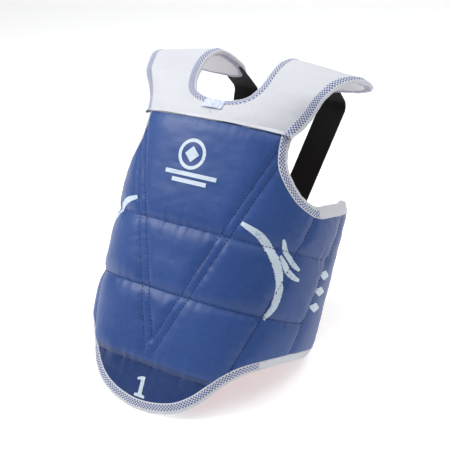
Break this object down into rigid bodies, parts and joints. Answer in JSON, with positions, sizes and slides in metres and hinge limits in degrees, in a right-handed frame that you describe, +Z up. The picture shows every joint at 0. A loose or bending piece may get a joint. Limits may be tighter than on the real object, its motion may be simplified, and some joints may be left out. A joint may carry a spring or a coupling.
{
  "type": "chest protector",
  "caption": "Reversible padded sparring chest protector with quilted foam front, tongue, folding side wings, shoulder yoke and an elastic back harness.",
  "frame": {"origin": "middle of the footprint, on the surface that the protector stands on", "axes": "+X to the wearer's left, +Y from the chest to the back, +Z up; the chest leans back over the wings"},
  "size_m": [0.356, 0.4576, 0.4206],
  "materials": {
    "foam": "closed-cell foam",
    "binding": "woven tape",
    "white_cover": "smooth coated",
    "lining": "brushed",
    "reverse_cover": "smooth coated",
    "blue_cover": "fine grain, soft sheen",
    "webbing": "elastic webbing",
    "patch": "woven",
    "hook_tape": "hook tape",
    "loop_tape": "loop tape",
    "label": "woven label"
  },
  "bodies": {
    "front": {"armhole_binding_left": "binding", "armhole_binding_right": "binding", "foam_chest_centre": "foam", "foam_chest_side_left": "foam", "foam_chest_side_right": "foam", "foam_lower_centre": "foam", "foam_lower_side_left": "foam", "foam_lower_side_right": "foam", "foam_middle_centre": "foam", "foam_middle_side_left": "foam", "foam_middle_side_right": "foam", "front_cover": "blue_cover", "front_reverse": "reverse_cover", "neck_binding": "binding", "neck_label": "label", "yoke_arm_binding_left": "binding", "yoke_arm_binding_right": "binding", "yoke_cover": "white_cover", "yoke_foam": "foam", "yoke_lining": "lining"},
    "wing_left": {"foam_chest_flank_left": "foam", "foam_lower_flank_left": "foam", "foam_middle_flank_left": "foam", "foam_rear_left": "foam", "hook_tab_left": "hook_tape", "loop_patch_left": "loop_tape", "wing_binding_left": "binding", "wing_cover_left": "blue_cover", "wing_reverse_left": "reverse_cover"},
    "wing_right": {"foam_chest_flank_right": "foam", "foam_lower_flank_right": "foam", "foam_middle_flank_right": "foam", "foam_rear_right": "foam", "hook_tab_right": "hook_tape", "loop_patch_right": "loop_tape", "wing_binding_right": "binding", "wing_cover_right": "blue_cover", "wing_reverse_right": "reverse_cover"},
    "tongue": {"foam_tongue": "foam", "tongue_binding": "binding", "tongue_cover": "blue_cover", "tongue_reverse": "reverse_cover"},
    "harness": {"cross_band": "webbing", "join_patch": "patch", "shoulder_binding_left": "binding", "shoulder_binding_right": "binding", "shoulder_cover_left": "white_cover", "shoulder_cover_right": "white_cover", "shoulder_foam_left": "foam", "shoulder_foam_right": "foam", "shoulder_lining_left": "lining", "shoulder_lining_right": "lining", "strap_left": "webbing", "strap_right": "webbing"}
  },
  "joints": [
    {"name": "wing_left_fold", "type": "hinge", "parent": "front", "child": "wing_left", "pos_m": [0.13766, -0.08347, 0.14996], "axis": [-0.1754, -0.7023, -0.69], "range_deg": [0, 26], "stiffness_Nm_per_rad": 4},
    {"name": "wing_right_fold", "type": "hinge", "parent": "front", "child": "wing_right", "pos_m": [-0.13766, -0.08347, 0.14996], "axis": [-0.1754, 0.7023, 0.69], "range_deg": [0, 26], "stiffness_Nm_per_rad": 4},
    {"name": "tongue_fold", "type": "hinge", "parent": "front", "child": "tongue", "pos_m": [0, -0.19815, 0.05462], "axis": [-1, 0, 0], "range_deg": [-4, 14], "stiffness_Nm_per_rad": 12},
    {"name": "harness_lift", "type": "hinge", "parent": "front", "child": "harness", "pos_m": [0, 0.05741, 0.40945], "axis": [1, 0, 0], "range_deg": [0, 50]}
  ]
}
